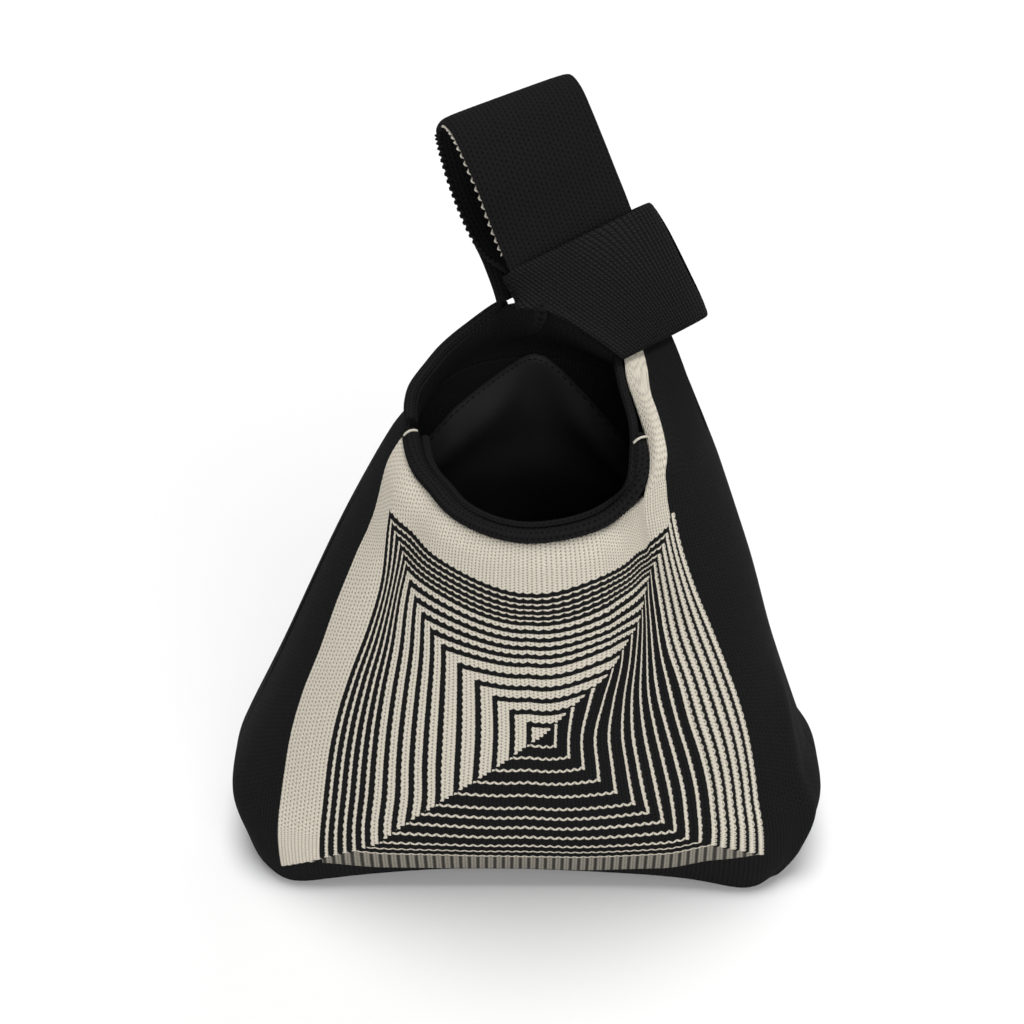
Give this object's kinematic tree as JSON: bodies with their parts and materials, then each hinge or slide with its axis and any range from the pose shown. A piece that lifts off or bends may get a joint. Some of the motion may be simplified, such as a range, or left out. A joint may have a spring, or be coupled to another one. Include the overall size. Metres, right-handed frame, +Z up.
{
  "type": "knit knot bag",
  "caption": "Soft knit knot bag with a boxed base, round lined mouth, and a long handle drawn through a flat ring formed by the short handle",
  "frame": {"origin": "under the middle of the body, on the surface that the bag stands on", "axes": "+Z up, +X to the right as the front is seen, -Y out of the front panel"},
  "size_m": [0.2491, 0.1314, 0.315],
  "materials": {
    "jacquard_knit": "two-colour jacquard knit in cream and black, matte",
    "black_knit": "matte black knit",
    "lining_cloth": "smooth black woven cloth",
    "cream_thread": "matte cream wool thread"
  },
  "bodies": {
    "bag": {"front_panel": "jacquard_knit", "back_panel": "black_knit", "base_panel": "black_knit", "lining_front": "lining_cloth", "lining_back": "lining_cloth", "lining_base": "lining_cloth", "front_neck_border": "black_knit", "front_neck_roll": "black_knit", "left_tack": "cream_thread", "right_tack": "cream_thread", "short_handle_ring": "black_knit", "short_handle_back_leg": "black_knit", "short_handle_front_leg": "black_knit", "left_neck_roll": "black_knit", "long_handle_front_leg": "black_knit", "right_neck_roll": "black_knit", "long_handle_back_leg": "black_knit"},
    "throat": {"handle_throat": "black_knit"},
    "grip": {"grip_front_strap": "black_knit", "grip_back_strap": "black_knit", "grip_edge_stitch": "cream_thread"}
  },
  "joints": [
    {"name": "handle_draw", "type": "slide", "parent": "bag", "child": "throat", "axis": [-0.4916, 0.3946, 0.7763], "range_m": [0, 0.015]},
    {"name": "grip_tilt", "type": "hinge", "parent": "throat", "child": "grip", "pos_m": [0.0141, 0.03955, 0.26179], "axis": [0.8859, 0.3858, 0.2576], "range_deg": [-50, 50]}
  ]
}
